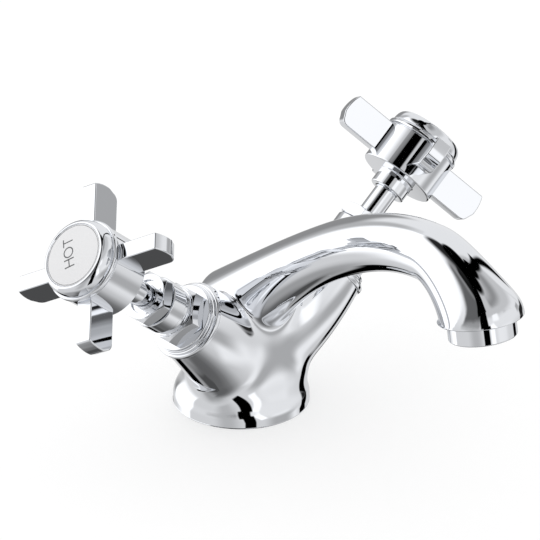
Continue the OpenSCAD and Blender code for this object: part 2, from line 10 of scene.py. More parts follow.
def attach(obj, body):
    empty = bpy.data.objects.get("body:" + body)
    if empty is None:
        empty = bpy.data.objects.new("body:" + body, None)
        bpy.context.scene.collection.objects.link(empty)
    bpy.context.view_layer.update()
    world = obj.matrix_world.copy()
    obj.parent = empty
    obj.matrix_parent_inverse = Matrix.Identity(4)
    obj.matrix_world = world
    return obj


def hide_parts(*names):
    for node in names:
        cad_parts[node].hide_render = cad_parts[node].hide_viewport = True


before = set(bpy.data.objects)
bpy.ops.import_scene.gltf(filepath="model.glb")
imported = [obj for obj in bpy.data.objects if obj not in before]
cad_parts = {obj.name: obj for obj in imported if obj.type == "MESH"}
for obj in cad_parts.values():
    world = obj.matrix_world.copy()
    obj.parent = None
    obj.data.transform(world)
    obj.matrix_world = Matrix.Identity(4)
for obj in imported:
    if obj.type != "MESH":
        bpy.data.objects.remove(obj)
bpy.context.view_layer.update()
MM = 0.001

# Sizes, as in the part's source
FOOT_R, FOOT_H, FOOT_SWEEP, WAIST_R, TRUNK_TOP_R = 26.0, 2.6, 7.5, 16.0, 12.0
YOKE = np.array([10.75, 0.0, 19.0])
TILT = math.radians(39.5)
SEAT_T, ARM_NECK_R, SEAT_RIM_R, ARM_FLARE = 45.5, 14.2, 14.7, 0.24
FORK_ROUND, ARM_WIDEN, ARM_TOP_FLARE, ARM_LEAN = 9.0, 0.05, -0.04, 0.0055
SPOUT_REACH, OUTLET_Z, ARCH_X, ARCH_Z = 127.5, 81.3, 102.7, 96.8
RISE, LEAN = math.radians(45), math.radians(12)
SPOUT_R, SPOUT_END_R, ROOT_R, FLARE_FROM, ROOT_TO = 10.3, 15.1, 17.0, 0.78, 0.46
TRUNK_FOOT, TRUNK_TOP = np.array([3.0, 0, 12]), np.array([3.0, 0, 32])
FOOT_BLEND, TRUNK_BLEND, SPOUT_BLEND = 13.0, 14.0, 4.0
TRIM_R, TRIM_T, FLANGE_R, FLANGE_T = 13.7, 47.1, 12.8, 48.2
HEX_R, HEX_T, NECK_R, NECK_T, BAND_R, BAND_T = 11.7, 54.5, 8.8, 57.5, 9.6, 64.5
GLAND_R, GLAND_T, STEM_R = 10.2, 69.7, 4.5
COLLAR_R, COLLAR_T, BARREL_R, BARREL_T = 7.2, 81.7, 14.8, 87.9
BEAD_T, BEAD_R, RIM_T, CAP_R, CAP_T, INDEX_R = 103.5, 15.2, 105.7, 14.3, 110.5, 11.7
ARM_REACH, ARM_W, ARM_D, ARM_NOSE, ARM_BACK_R = 32.0, 6.3, 12.4, 1.3, 3.0
REST = {"hot": 36.0, "cold": 56.0}
SIDE = {"hot": -1, "cold": 1}
AERATOR_R, AERATOR_DROP, AERATOR_WALL, AERATOR_SOCKET = 12.0, 6.6, 1.4, 6.6
WATERWAY_R, WATERWAY_T = 6.0, 13.0
GROOVE_OUT_R, GROOVE_IN_R, GROOVE_DEPTH = 23.6, 20.6, 2.0
RECESS_OUT_R, RECESS_IN_R, RECESS_DEPTH = 19.4, 15.6, 6.0
HOLES = ((0, 0, 3.4), (5, -8.5, 4.5), (5, 8.5, 4.5))
HOLE_DEPTH = 14.0
EDGE_CUT, EDGE_START = 0.5, 0.3

# Sizes of the dressed form only
ROOT_AT = (-1.0, 37.2)
PULL_ROOT, PULL_ARCH, PULL_DROP, PULL_END = 0.3, 0.306, 0.352, 0.06
FLARE_POWER = 2.2
DISC_CROWN, DISC_SINK = 0.5, 0.2
CELL = 1.0
NEAR_FOOT, NEAR_OUTLET, PAST_ARCH, LOOP_REACH = 4.0, 6.0, 100.0, 32.0


# The casting's surface as a field
def smooth_min(a, b, k):
    h = np.maximum(k - np.abs(a - b), 0) / k
    return np.minimum(a, b) - h ** 3 * k / 6


def ease(v):
    c = np.clip(v, 0, 1)
    return c * c * (3 - 2 * c)


def bezier(p, q, r, s, t):
    t = t[:, None]
    return (1 - t) ** 3 * p + 3 * (1 - t) ** 2 * t * q + 3 * (1 - t) * t * t * r + t ** 3 * s


def spout_line(n):
    """Points along the spout's centre line in its own plane, x and z, at even steps of length."""
    root, arch = np.array(ROOT_AT), np.array([ARCH_X, ARCH_Z])
    end = np.array([SPOUT_REACH, OUTLET_Z])
    rise = np.array([math.cos(RISE), math.sin(RISE)])
    out = np.array([math.sin(LEAN), -math.cos(LEAN)])
    up, down = np.linalg.norm(arch - root), np.linalg.norm(end - arch)
    t = np.linspace(0, 1, 1500)
    one = bezier(root, root + PULL_ROOT * up * rise, arch - [PULL_ARCH * up, 0], arch, t)
    two = bezier(arch, arch + [PULL_DROP * down, 0], end - PULL_END * down * out, end, t[1:])
    fine = np.concatenate([one, two])
    run = np.concatenate([[0], np.cumsum(np.linalg.norm(np.diff(fine, axis=0), axis=1))])
    even = np.linspace(0, run[-1], n)
    return np.stack([np.interp(even, run, fine[:, a]) for a in (0, 1)], 1)


COARSE, STEP, BATCH = 76, 8, 200000
LINE = spout_line((COARSE - 1) * STEP + 1)


def spout_field(x, y, z):
    """Distance to the spout's skin: to its centre line, less the radius there."""
    shape = x.shape
    xz = np.stack([x.ravel(), z.ravel()], 1)
    best_u = np.empty(len(xz))
    best_d = np.empty(len(xz))
    span = np.arange(-STEP, STEP + 1)
    for lo in range(0, len(xz), BATCH):
        part = xz[lo:lo + BATCH]
        near = np.argmin(((part[:, None, :] - LINE[None, ::STEP]) ** 2).sum(2), 1) * STEP
        pick = np.clip(near[:, None] + span, 0, len(LINE) - 1)
        d2 = ((part[:, None, :] - LINE[pick]) ** 2).sum(2)
        mid = np.clip(pick[np.arange(len(part)), np.argmin(d2, 1)], 1, len(LINE) - 2)
        # the nearest point of a parabola through the nearest three distances
        low, here, high = (((part - LINE[mid + k]) ** 2).sum(1) for k in (-1, 0, 1))
        shift = np.clip(0.5 * (low - high) / (low - 2 * here + high), -1, 1)
        best_u[lo:lo + BATCH] = (mid + shift) / (len(LINE) - 1)
        best_d[lo:lo + BATCH] = here - 0.25 * (low - high) * shift
    flare = np.clip((best_u - FLARE_FROM) / (1 - FLARE_FROM), 0, 1) ** FLARE_POWER
    radius = SPOUT_R + (SPOUT_END_R - SPOUT_R) * flare
    radius = radius + (ROOT_R - SPOUT_R) * (1 - np.clip(best_u / ROOT_TO, 0, 1)) ** 2
    return np.sqrt(np.maximum(best_d, 0) + y.ravel() ** 2).reshape(shape) - radius.reshape(shape)


def foot_field(x, y, z):
    """A disc whose wall sweeps inwards in an arc above FOOT_H, a hair inside the solid's edge."""
    r = FOOT_R - 0.15 - np.hypot(np.maximum(z - FOOT_H, 0), FOOT_SWEEP) + FOOT_SWEEP
    return (np.hypot(x, y) - r) * 0.85


def trunk_field(x, y, z):
    """A round bar from the foot up to the fork, narrower at its top."""
    way = TRUNK_TOP - TRUNK_FOOT
    t = ((x - TRUNK_FOOT[0]) * way[0] + (z - TRUNK_FOOT[2]) * way[2]) / (way @ way)
    t = np.clip(t, 0, 1)
    gap = np.sqrt((x - TRUNK_FOOT[0] - t * way[0]) ** 2 + y ** 2 + (z - TRUNK_FOOT[2] - t * way[2]) ** 2)
    return gap - (WAIST_R + (TRUNK_TOP_R - WAIST_R) * ease(t))


def arm_field(x, y, z):
    """Both slanted arms at once, mirrored in y and rounded where they meet, cut off at the valve seats."""
    s = np.hypot(y, FORK_ROUND)
    h = z - YOKE[2]
    t = s * math.cos(TILT) + h * math.sin(TILT)
    up = h * math.cos(TILT) - s * math.sin(TILT)
    back = np.clip(SEAT_T - t, -5, 60)
    low, high = ARM_NECK_R + ARM_FLARE * back, ARM_NECK_R + ARM_TOP_FLARE * back
    wide, deep = ARM_NECK_R + ARM_WIDEN * back, (low + high) / 2
    q = np.hypot((x - YOKE[0] + ARM_LEAN * np.maximum(back, 0) ** 2) / wide, (up - (high - low) / 2) / deep)
    return np.maximum((q - 1) * np.minimum(wide, deep), t - (SEAT_T + 0.2))


def casting_field(x, y, z):
    upper = smooth_min(trunk_field(x, y, z), arm_field(x, y, z), TRUNK_BLEND)
    low = smooth_min(foot_field(x, y, z), upper, FOOT_BLEND * (0.1 + 0.9 * ease(z / 13)))
    return smooth_min(low, spout_field(x, y, z), SPOUT_BLEND)


def gradient(points, d=0.02):
    """The field's slope at each point, by central differences."""
    g = np.empty_like(points)
    for a in range(3):
        step = np.zeros(3)
        step[a] = d
        g[:, a] = (casting_field(*(points + step).T) - casting_field(*(points - step).T)) / (2 * d)
    return g


def net_values(cell):
    """The field on a grid round the casting, made for one half and mirrored, and the grid's corner."""
    lo = np.array([-FOOT_R - 3, 0, -2.0])
    hi = np.array([SPOUT_REACH + SPOUT_END_R + 5, 47.0, ARCH_Z + SPOUT_R + 3])
    n = np.ceil((hi - lo) / cell).astype(int) + 1
    axes = [lo[a] + cell * np.arange(n[a]) for a in range(3)]
    half = casting_field(*np.meshgrid(*axes, indexing="ij"))
    return np.concatenate([half[:, :0:-1], half], 1), np.array([lo[0], -cell * (n[1] - 1), lo[2]])


def net_points(values, cells):
    """The mean of the points where the skin crosses each cell's edges, in cells from the grid's corner."""
    corner = {c: values[tuple((cells + c).T)] for c in np.ndindex(2, 2, 2)}
    total, hits = np.zeros((len(cells), 3)), np.zeros(len(cells))
    for c in corner:
        for a in range(3):
            if c[a] == 0:
                d = tuple(1 if b == a else c[b] for b in range(3))
                cross = (corner[c] < 0) != (corner[d] < 0)
                t = np.where(cross, corner[c] / np.where(cross, corner[c] - corner[d], 1), 0)
                hit = np.array(c, float)[None] + t[:, None] * (np.array(d) - c)
                total += np.where(cross[:, None], hit, 0)
                hits += cross
    return cells + total / hits[:, None]


def net_quads(inside, index):
    """A quad round each grid edge that the skin crosses, from the four cells that share the edge."""
    quads = []
    for a in range(3):
        b, c = (a + 1) % 3, (a + 2) % 3
        step = np.eye(3, dtype=int)
        top = [slice(None)] * 3
        top[a] = slice(1, None)
        bottom = [slice(None)] * 3
        bottom[a] = slice(None, -1)
        first = inside[tuple(bottom)]
        edges = np.argwhere(first != inside[tuple(top)])
        edges = edges[(edges[:, b] > 0) & (edges[:, c] > 0)]
        edges = edges[(edges[:, b] < index.shape[b]) & (edges[:, c] < index.shape[c])]
        ring = np.stack([index[tuple((edges - o).T)] for o in
                         (np.zeros(3, int), step[b], step[b] + step[c], step[c])], 1)
        flip = first[tuple(edges.T)]
        ring[~flip] = ring[~flip][:, ::-1]
        quads.append(ring)
    quads = np.concatenate(quads)
    return quads[(quads >= 0).all(1)]


def surface_net(cell):
    """Vertices and quads of the casting's skin: one vertex in each grid cell that the skin crosses."""
    values, origin = net_values(cell)
    inside = values < 0
    room = np.array(values.shape) - 1
    count = sum(inside[i:i + room[0], j:j + room[1], k:k + room[2]].astype(np.int8)
                for i in (0, 1) for j in (0, 1) for k in (0, 1))
    cells = np.argwhere((count > 0) & (count < 8))
    index = np.full(count.shape, -1)
    index[tuple(cells.T)] = np.arange(len(cells))
    points = origin + cell * net_points(values, cells)
    for _ in range(3):
        g = gradient(points)
        value = casting_field(*points.T)
        points = points - (value / np.maximum((g * g).sum(1), 0.05))[:, None] * g
    return points, net_quads(inside, index)


# Mesh helpers
def new_object(name, points, faces):
    mesh = bpy.data.meshes.new(name)
    mesh.from_pydata((np.asarray(points, float) * MM).tolist(), [], [list(map(int, f)) for f in faces])
    mesh.validate()
    obj = bpy.data.objects.new(name, mesh)
    bpy.context.scene.collection.objects.link(obj)
    return obj


def fillet(corners, steps=5):
    """Profile points from corners (r, h, radius): each corner with a radius is rounded."""
    out = []
    n = len(corners)
    for i, (x, y, r) in enumerate(corners):
        p = np.array([x, y], float)
        if r <= 0 or i in (0, n - 1):
            out.append(p)
            continue
        a = np.array(corners[i - 1][:2], float) - p
        b = np.array(corners[i + 1][:2], float) - p
        la, lb = np.linalg.norm(a), np.linalg.norm(b)
        a, b = a / la, b / lb
        half = math.acos(np.clip(a @ b, -1, 1)) / 2
        cut = min(r / math.tan(half), la * 0.49, lb * 0.49)
        radius = cut * math.tan(half)
        centre = p + (a + b) / np.linalg.norm(a + b) * radius / math.sin(half)
        start, end = p + a * cut - centre, p + b * cut - centre
        turn = math.atan2(start[0] * end[1] - start[1] * end[0], start @ end)
        for k in range(steps + 1):
            w = turn * k / steps
            c, s = math.cos(w), math.sin(w)
            out.append(centre + [start[0] * c - start[1] * s, start[0] * s + start[1] * c])
    return out


def lathe(profile, seg=144, closed=False):
    """Points and faces of a profile of (r, h) turned round the Z axis."""
    points, rows = [], []
    for r, h in profile:
        if r < 1e-6:
            rows.append([len(points)] * seg)
            points.append((0.0, 0.0, h))
        else:
            rows.append(list(range(len(points), len(points) + seg)))
            points += [(r * math.cos(2 * math.pi * i / seg), r * math.sin(2 * math.pi * i / seg), h)
                       for i in range(seg)]
    faces = []
    for a, b in zip(rows, rows[1:] + rows[:1] if closed else rows[1:]):
        for i in range(seg):
            j = (i + 1) % seg
            face = [a[i], a[j], b[j], b[i]]
            faces.append([v for k, v in enumerate(face) if v != face[k - 1]])
    return np.array(points), [f for f in faces if len(set(f)) > 2]


def hex_bar(low, high, corner_r, bevel, inner=0.0, steps=10):
    """A hexagonal bar with its corners turned off at both ends, as rings round the Z axis."""
    flat_r = corner_r * math.cos(math.pi / 6)
    lip, seg = 0.15, 6 * steps
    angles = [2 * math.pi * i / seg for i in range(seg)]
    side = [flat_r / math.cos((a % (math.pi / 3)) - math.pi / 6) for a in angles]
    rings = []
    for h, way in ((low, 1), (high, -1)):
        ring = [[(r * math.cos(a), r * math.sin(a), h) for a in angles] for r in (inner, flat_r - lip)]
        ring.append([(s * math.cos(a), s * math.sin(a),
                      h + way * (0.05 + bevel * (s - flat_r + lip) / (corner_r - flat_r + lip)))
                     for a, s in zip(angles, side)])
        rings += ring if way == 1 else ring[::-1]
    points = [p for ring in rings for p in ring]
    faces = []
    for k in range(len(rings) - 1):
        for i in range(seg):
            j = (i + 1) % seg
            faces.append([k * seg + i, k * seg + j, (k + 1) * seg + j, (k + 1) * seg + i])
    return np.array(points), faces


def joined(parts):
    """Several (points, faces) as one."""
    points, faces, base = [], [], 0
    for p, f in parts:
        points.append(np.asarray(p, float))
        faces += [[v + base for v in face] for face in f]
        base += len(p)
    return np.concatenate(points), faces


def place(matrix, part):
    """A (points, faces) pair with its points moved by a matrix."""
    p = np.asarray(part[0], float)
    m = np.array(matrix)
    return p @ m[:3, :3].T + m[:3, 3], part[1]


def on_valve(side):
    """From the valve's own frame, with its axis along Z from the yoke, to the tap's."""
    return (Matrix.Translation(Vector(YOKE))
            @ Matrix.Rotation(-SIDE[side] * (math.pi / 2 - TILT), 4, "X"))


AT_OUTLET = (Matrix.Translation((SPOUT_REACH, 0, OUTLET_Z))
             @ Matrix.Rotation(math.pi - LEAN, 4, "Y"))


def smooth(obj, angle=35, bevel=0.0, segments=2):
    """Turns faces outwards, softens edges and shades smoothly, keeping corners sharper than angle."""
    mesh = obj.data
    bm = bmesh.new()
    bm.from_mesh(mesh)
    bmesh.ops.remove_doubles(bm, verts=bm.verts, dist=1e-7)
    bmesh.ops.recalc_face_normals(bm, faces=bm.faces)
    bm.to_mesh(mesh)
    bm.free()
    for p in mesh.polygons:
        p.use_smooth = True
    if bevel:
        mod = obj.modifiers.new("edges", "BEVEL")
        mod.width = bevel * MM
        mod.segments = segments
        mod.limit_method = "ANGLE"
        mod.angle_limit = math.radians(angle)
        mod.use_clamp_overlap = True
        mod.harden_normals = False
    else:
        mesh.set_sharp_from_angle(angle=math.radians(angle))
    weighted = obj.modifiers.new("normals", "WEIGHTED_NORMAL")
    weighted.keep_sharp = True
    weighted.weight = 80
    return obj


# Materials
def socket(node, name, value):
    node.inputs[name].default_value = value


def shaded(name):
    """A new material, its nodes and links, its shader and the object's own coordinates."""
    mat = bpy.data.materials.new(name)
    mat.use_nodes = True
    nodes, links = mat.node_tree.nodes, mat.node_tree.links
    coords = nodes.new("ShaderNodeTexCoord").outputs["Object"]
    return mat, nodes, links, nodes["Principled BSDF"], coords


def noise(nodes, links, coords, scale, detail=None):
    node = nodes.new("ShaderNodeTexNoise")
    socket(node, "Scale", scale)
    if detail is not None:
        socket(node, "Detail", detail)
    links.new(coords, node.inputs["Vector"])
    return node.outputs["Fac"]


def tinted(nodes, links, fac, colour, other, shader):
    tint = nodes.new("ShaderNodeMix")
    tint.data_type = "RGBA"
    tint.inputs["A"].default_value = (*colour, 1)
    tint.inputs["B"].default_value = (*other, 1)
    links.new(fac, tint.inputs["Factor"])
    links.new(tint.outputs["Result"], shader.inputs["Base Color"])


def bumped(nodes, links, height, strength, distance, shader):
    bump = nodes.new("ShaderNodeBump")
    socket(bump, "Strength", strength)
    socket(bump, "Distance", distance)
    links.new(height, bump.inputs["Height"])
    links.new(bump.outputs["Normal"], shader.inputs["Normal"])


def metal(name, colour, rough, wear=0.012):
    """Polished plate: a mirror with faint haze, tiny ripples and slight colour drift."""
    mat, nodes, links, shader, coords = shaded(name)
    socket(shader, "Metallic", 1.0)
    haze = noise(nodes, links, coords, 55.0, 5.0)
    ramp = nodes.new("ShaderNodeMapRange")
    socket(ramp, "To Min", max(rough - wear, 0.0))
    socket(ramp, "To Max", rough + wear)
    links.new(haze, ramp.inputs["Value"])
    links.new(ramp.outputs["Result"], shader.inputs["Roughness"])
    tinted(nodes, links, haze, colour, [min(c * 1.025, 1) for c in colour], shader)
    bumped(nodes, links, noise(nodes, links, coords, 140.0, 2.0), 0.012, 0.0002, shader)
    return mat


def dull(name, colour, other, rough, scale, bump_height=0.0, coat=0.0, grain=0.0):
    """Rubber, enamel, ceramic or moulded plastic, with a fine mottle and surface."""
    mat, nodes, links, shader, coords = shaded(name)
    socket(shader, "Roughness", rough)
    socket(shader, "Coat Weight", coat)
    socket(shader, "Coat Roughness", 0.03)
    tinted(nodes, links, noise(nodes, links, coords, scale, 4.0), colour, other, shader)
    if grain:
        bumped(nodes, links, noise(nodes, links, coords, grain), 0.3, bump_height, shader)
    return mat


PLATE = (0.852, 0.868, 0.9)
CHROME = metal("chrome_cast", PLATE, 0.018)
CHROME_TURNED = metal("chrome_turned", PLATE, 0.022)
CHROME_STEM = metal("chrome_stem", (0.832, 0.848, 0.88), 0.03)
STEEL = metal("steel_plain", (0.62, 0.62, 0.63), 0.22, 0.05)
RUBBER = dull("rubber_black", (0.02, 0.02, 0.021), (0.035, 0.035, 0.036), 0.7, 300, 0.00005, grain=2500)
CERAMIC = dull("ceramic", (0.86, 0.85, 0.82), (0.8, 0.79, 0.76), 0.25, 120, coat=0.2)
PLASTIC = dull("plastic_grey", (0.5, 0.51, 0.52), (0.44, 0.45, 0.46), 0.45, 200, 0.00004, grain=1800)
ENAMEL = dull("enamel_white", (0.82, 0.82, 0.835), (0.86, 0.86, 0.87), 0.12, 90, coat=1.0)
INK = dull("enamel_ink", (0.045, 0.047, 0.052), (0.07, 0.072, 0.078), 0.3, 150, coat=0.6)


def finish_piece(obj, mat, body, slot, *nodes):
    """Gives a piece its material and the body that carries it, and hides the solids that it replaces; slot is
    not used.
    """
    obj.data.materials.clear()
    obj.data.materials.append(mat)
    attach(obj, body)
    if nodes:
        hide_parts(*nodes)
    return obj


# Casting
def ring_loop(bm, centre, u, v):
    """The open edge's vertices, sorted round a centre in the plane of u and v."""
    verts = {x for e in bm.edges if e.is_boundary for x in e.verts}
    near = [x for x in verts if (x.co - centre).length < LOOP_REACH * MM]
    return sorted(near, key=lambda x: math.atan2((x.co - centre).dot(v), (x.co - centre).dot(u)))


def close_loop(bm, loop, centre, axis, profile):
    """Carries an open edge on through rings of (radius, height along axis) to a middle point."""
    away = []
    for x in loop:
        d = x.co - centre
        d = d - axis * d.dot(axis)
        away.append(d.normalized())
    last = loop
    for r, h in profile:
        if r <= 0:
            tip = bm.verts.new(centre + axis * h * MM)
            for i, x in enumerate(last):
                bm.faces.new([x, last[(i + 1) % len(last)], tip])
            return
        ring = [bm.verts.new(centre + (d * r + axis * h) * MM) for d in away]
        for i in range(len(ring)):
            j = (i + 1) % len(ring)
            bm.faces.new([last[i], last[j], ring[j], ring[i]])
        last = ring


def slice_off(bm, verts, at, way):
    """Cuts away what lies past a plane, among these vertices and what hangs on them only."""
    chosen = set(verts)
    region = verts + [e for e in bm.edges if chosen.issuperset(e.verts)]
    region += [f for f in bm.faces if chosen.issuperset(f.verts)]
    bmesh.ops.bisect_plane(bm, geom=region, dist=1e-7, plane_co=at, plane_no=way, clear_outer=True)


def rounded_edge(r, way):
    """A quarter round from an open edge at radius r to the flat face, with heights turned by way."""
    return [(r - EDGE_CUT + EDGE_CUT * math.cos(a), way * EDGE_CUT * (1 - math.sin(a)))
            for a in np.linspace(EDGE_START, math.pi / 2, 5)]


def cut_holes(obj):
    """The holes for the stud and the two supply hoses."""
    holes = joined([place(Matrix.Translation((x, y, 0)),
                          lathe([(0, -1), (r, -1), (r, HOLE_DEPTH), (0, HOLE_DEPTH)], 48))
                    for x, y, r in HOLES])
    cutter = new_object("cutter", *holes)
    mod = obj.modifiers.new("holes", "BOOLEAN")
    mod.operation = "DIFFERENCE"
    mod.solver = "EXACT"
    mod.object = cutter
    depsgraph = bpy.context.evaluated_depsgraph_get()
    cut = bpy.data.meshes.new_from_object(obj.evaluated_get(depsgraph))
    obj.modifiers.clear()
    obj.data = cut
    bpy.data.objects.remove(cutter)


def add_seat_rims(obj):
    """A rounded rim on each valve seat."""
    rims = []
    for side in SIDE:
        profile = fillet([(0, SEAT_T - 2.1, 0), (SEAT_RIM_R - 0.3, SEAT_T - 2.1, 0.3),
                          (SEAT_RIM_R, SEAT_T - 1.7, 0.6), (SEAT_RIM_R, SEAT_T, 0.7), (0, SEAT_T, 0)])
        rims.append(place(on_valve(side), lathe(profile)))
    extra = new_object("rims", *joined(rims))
    bm = bmesh.new()
    bm.from_mesh(obj.data)
    bm.from_mesh(extra.data)
    bmesh.ops.recalc_face_normals(bm, faces=bm.faces)
    bm.to_mesh(obj.data)
    bm.free()
    bpy.data.objects.remove(extra)


def field_normals(mesh):
    """Exact normals where the skin is the field's own, so that the mirror finish stays smooth."""
    co = np.empty(len(mesh.vertices) * 3)
    mesh.vertices.foreach_get("co", co)
    co = co.reshape(-1, 3) / MM
    g = gradient(co)
    g /= np.maximum(np.linalg.norm(g, axis=1), 1e-9)[:, None]
    on_skin = (np.abs(casting_field(*co.T)) < 0.01) & (co[:, 2] > EDGE_CUT - 0.01)
    for side in SIDE:
        m = np.array(on_valve(side).inverted())
        on_skin &= ~((co @ m[2, :3] + m[2, 3] > SEAT_T - 2.2) & (np.abs(co[:, 1]) > 20))
    corner_vert = np.empty(len(mesh.loops), int)
    mesh.loops.foreach_get("vertex_index", corner_vert)
    normals = np.empty(len(mesh.loops) * 3)
    mesh.corner_normals.foreach_get("vector", normals)
    normals = normals.reshape(-1, 3)
    exact = g[corner_vert]
    swap = on_skin[corner_vert] & ((exact * normals).sum(1) > 0.8)
    normals[swap] = exact[swap]
    mesh.normals_split_custom_set(normals.tolist())


def casting():
    obj = new_object("casting", *surface_net(CELL))
    bm = bmesh.new()
    bm.from_mesh(obj.data)
    x_way, y_way, z_way = (Vector(v) for v in ((1, 0, 0), (0, 1, 0), (0, 0, 1)))
    out = Vector((math.sin(LEAN), 0, -math.cos(LEAN)))
    outlet = Vector((SPOUT_REACH, 0, OUTLET_Z)) * MM
    foot = z_way * EDGE_CUT * MM
    slice_off(bm, [x for x in bm.verts if x.co.z < NEAR_FOOT * MM], foot, -z_way)
    slice_off(bm, [x for x in bm.verts
                   if x.co.x > PAST_ARCH * MM and (x.co - outlet).dot(out) > -NEAR_OUTLET * MM],
              outlet - out * EDGE_CUT * MM, out)
    bmesh.ops.delete(bm, geom=[x for x in bm.verts if not x.link_faces], context="VERTS")

    # the foot's rounded lower edge, the groove of its seal, its recess and the flat round the fixings
    under = rounded_edge(FOOT_R, 1) + [
        (GROOVE_OUT_R + 0.02, 0), (GROOVE_OUT_R, 0.02), (GROOVE_OUT_R, GROOVE_DEPTH),
        (GROOVE_IN_R, GROOVE_DEPTH), (GROOVE_IN_R, 0.02), (GROOVE_IN_R - 0.02, 0),
        (RECESS_OUT_R, 0), (RECESS_OUT_R, RECESS_DEPTH), (RECESS_IN_R, RECESS_DEPTH), (RECESS_IN_R, 0),
        (0, 0)]
    close_loop(bm, ring_loop(bm, foot, x_way, y_way), Vector((0, 0, 0)), z_way, under)

    # the outlet's rounded edge and its bore
    bore = AERATOR_R - 0.9
    mouth = rounded_edge(SPOUT_END_R, -1) + [
        (bore + 0.3, 0), (bore, -0.3), (bore, -AERATOR_SOCKET), (WATERWAY_R, -AERATOR_SOCKET),
        (WATERWAY_R, -WATERWAY_T), (0, -WATERWAY_T)]
    close_loop(bm, ring_loop(bm, outlet, y_way, out.cross(y_way)), outlet, out, mouth)
    bmesh.ops.recalc_face_normals(bm, faces=bm.faces)
    bm.to_mesh(obj.data)
    bm.free()

    cut_holes(obj)
    add_seat_rims(obj)
    for p in obj.data.polygons:
        p.use_smooth = True
    obj.data.set_sharp_from_angle(angle=math.radians(30))
    field_normals(obj.data)
    return obj


finish_piece(casting(), CHROME, "root", "chrome_body", "body")


# Valves
def valve_pieces(side):
    """The trim ring, the valve body with its hexagon and band, the gland nut and the bare stem."""
    m = on_valve(side)
    ring = fillet([(0, SEAT_T - 0.2, 0), (TRIM_R - 0.3, SEAT_T - 0.2, 0), (TRIM_R, SEAT_T + 0.25, 0.25),
                   (TRIM_R, SEAT_T + 0.85, 0.35), (TRIM_R - 0.55, SEAT_T + 0.95, 0.1),
                   (TRIM_R - 0.6, TRIM_T - 0.02, 0.4), (0, TRIM_T - 0.02, 0)])
    finish_piece(smooth(new_object(f"{side}_seat_ring", *place(m, lathe(ring)))), CHROME_TURNED, "root",
                 "chrome_trim", f"{side}_trim_ring")

    flange = fillet([(0, TRIM_T - 0.1, 0), (FLANGE_R - 0.3, TRIM_T - 0.1, 0), (FLANGE_R, TRIM_T + 0.3, 0.3),
                     (FLANGE_R, FLANGE_T, 0.35), (HEX_R - 1.8, FLANGE_T + 0.02, 0), (0, FLANGE_T + 0.02, 0)])
    nut = hex_bar(FLANGE_T - 0.1, HEX_T, HEX_R, 1.0, 4.0)
    top_r = HEX_R * 0.83
    neck = fillet([(5, HEX_T - 0.5, 0), (top_r, HEX_T - 0.05, 0), (top_r - 0.3, HEX_T + 0.15, 0.2),
                   (NECK_R, HEX_T + 0.25, 0.3), (NECK_R, NECK_T, 0.25), (BAND_R - 0.4, NECK_T, 0.05),
                   (BAND_R, NECK_T + 0.4, 0.25), (BAND_R, BAND_T - 0.1, 0.4), (5, BAND_T - 0.1, 0)])
    obj = new_object(f"{side}_valve", *place(m, joined([lathe(flange), nut, lathe(neck)])))
    finish_piece(smooth(obj, 28, 0.14, 2), CHROME_TURNED, "root", "chrome_trim", f"{side}_valve_body")

    low = BAND_T + 0.25
    gland = hex_bar(low, GLAND_T, GLAND_R, 0.8, 6.5)
    face = fillet([(STEM_R + 0.12, low, 0), (STEM_R + 0.12, GLAND_T - 0.9, 0.25), (6.3, GLAND_T - 0.9, 0.1),
                   (6.7, GLAND_T - 0.02, 0.25), (8.3, GLAND_T + 0.02, 0)])
    obj = new_object(f"{side}_gland", *place(m, joined([gland, lathe(face)])))
    finish_piece(smooth(obj, 28, 0.14, 2), CHROME_TURNED, "root", "chrome_trim", f"{side}_gland_nut")

    stem = fillet([(0, BAND_T, 0), (STEM_R, BAND_T, 0), (STEM_R, COLLAR_T + 6, 0), (0, COLLAR_T + 6, 0)])
    obj = new_object(f"{side}_stem", *place(m, lathe(stem, 96)))
    finish_piece(smooth(obj), CHROME_STEM, f"{side}_turning", "chrome_spindle", f"{side}_spindle")


def arm_mesh():
    """One handle arm along +X: flat front, convex tip, rounded rear corner."""
    low, high = BEAD_T - 0.3 - ARM_D, BEAD_T - 0.3
    nose = (ARM_D ** 2 / 4 + ARM_NOSE ** 2) / (2 * ARM_NOSE)
    sweep = math.asin(ARM_D / 2 / nose)
    back = ARM_BACK_R
    start = BARREL_R - 2.2
    outline = [(start, high), (start, low)]
    outline += [(ARM_REACH - 1 - back + back * math.cos(a), low + back + back * math.sin(a))
                for a in np.radians(np.arange(-90, -14, 7.5))]
    outline += [(ARM_REACH - nose + nose * math.cos(a), (low + high) / 2 + nose * math.sin(a))
                for a in np.linspace(-sweep * 0.28, sweep, 12)]
    half = ARM_W / 2
    points = [(x, y, z) for y in (-half, half) for x, z in outline]
    n = len(outline)
    faces = [list(range(n)), list(range(2 * n - 1, n - 1, -1))]
    faces += [[i, (i + 1) % n, n + (i + 1) % n, n + i] for i in range(n)]
    return np.array(points), faces


